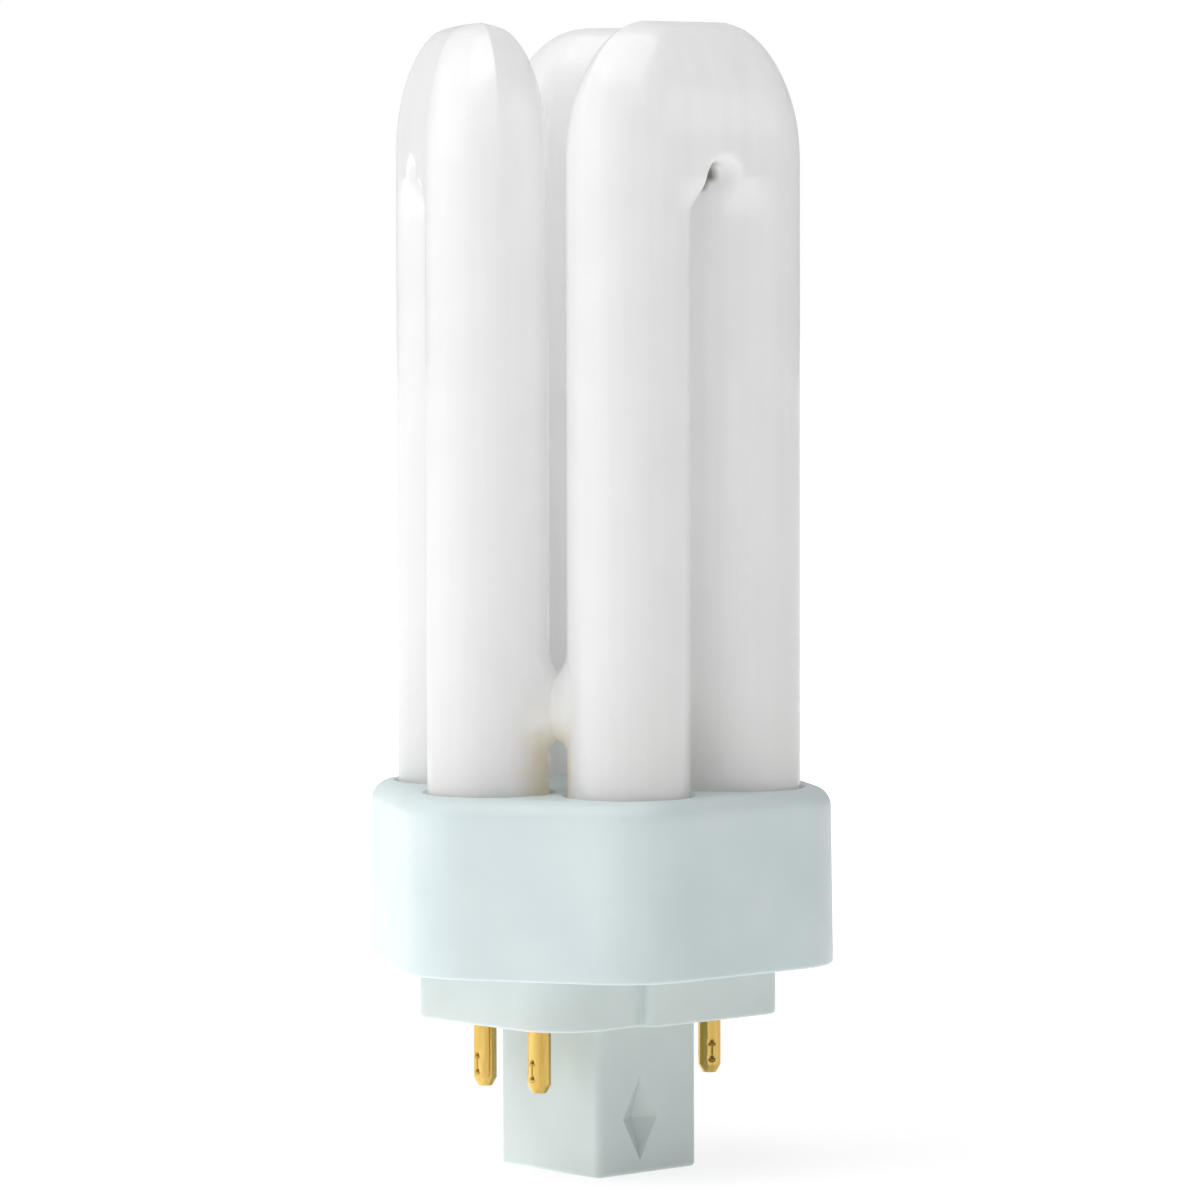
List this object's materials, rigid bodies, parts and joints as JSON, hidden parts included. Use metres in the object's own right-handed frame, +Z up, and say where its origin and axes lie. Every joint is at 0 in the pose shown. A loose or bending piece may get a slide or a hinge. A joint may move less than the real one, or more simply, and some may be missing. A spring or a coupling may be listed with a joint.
{
  "type": "four pin compact fluorescent lamp",
  "caption": "Plug-in compact fluorescent lamp: bent glass tubes on a six-sided plastic housing, with a keyed base plate, a rectangular post and hollow brass contact pins",
  "frame": {"origin": "centre of the flat face at the post's end", "axes": "+Z up along the tubes; X along the long side of the pin pattern; -Y towards the keyed front side with one bent tube parallel to it"},
  "size_m": [0.0474, 0.0434, 0.1133],
  "materials": {
    "coated_glass": "glossy glass with a white phosphor coat inside",
    "housing_plastic": "satin",
    "cap_plastic": "satin",
    "pin_brass": "polished",
    "wire_metal": "drawn",
    "sealant": "matte"
  },
  "bodies": {
    "root": {"discharge_vessel": "coated_glass", "housing": "housing_plastic", "cap": "cap_plastic", "contact_pin_1": "pin_brass", "contact_pin_2": "pin_brass", "contact_pin_3": "pin_brass", "contact_pin_4": "pin_brass", "lead_wire_1": "wire_metal", "lead_wire_2": "wire_metal", "lead_wire_3": "wire_metal", "lead_wire_4": "wire_metal", "sealant_ring_1": "sealant", "sealant_ring_2": "sealant", "sealant_ring_3": "sealant", "sealant_ring_4": "sealant", "sealant_ring_5": "sealant", "sealant_ring_6": "sealant"}
  },
  "joints": []
}
